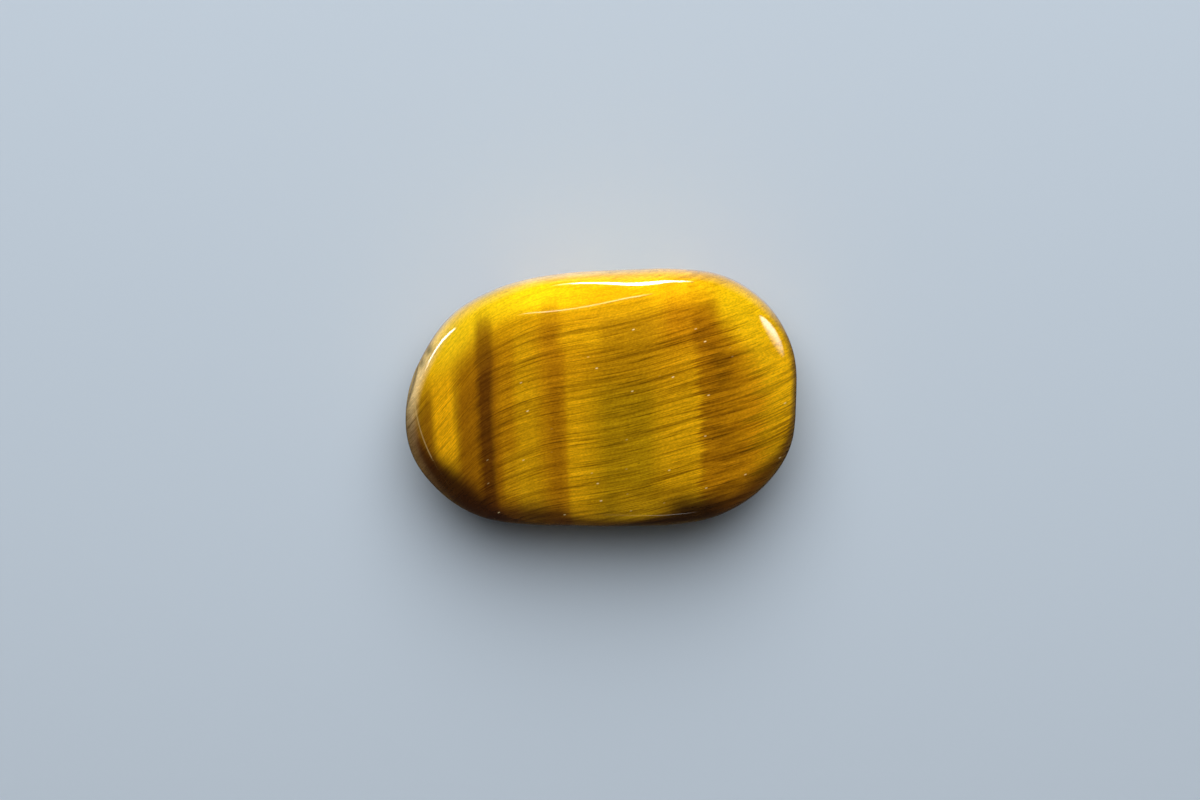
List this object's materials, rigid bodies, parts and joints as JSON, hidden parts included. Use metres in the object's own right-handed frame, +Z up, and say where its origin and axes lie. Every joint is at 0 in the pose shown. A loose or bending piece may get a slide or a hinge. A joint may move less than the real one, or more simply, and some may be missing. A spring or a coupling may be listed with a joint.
{
  "type": "tumbled tiger's eye stone",
  "caption": "Oblong tumble-polished pebble of banded golden-brown chatoyant quartz, narrower at one end, lying on its broad flattened back.",
  "frame": {"origin": "middle of the box in plan, on the worn flat back that the pebble rests on", "axes": "+X along the length towards the broad end, +Y across the width towards the flattened shoulder, +Z up through the thickness"},
  "size_m": [0.028, 0.0186, 0.0098],
  "materials": {
    "polished_tigers_eye": "high polish, golden-brown silky bands across the stone"
  },
  "bodies": {
    "root": {"tumbled_stone": "polished_tigers_eye"}
  },
  "joints": []
}
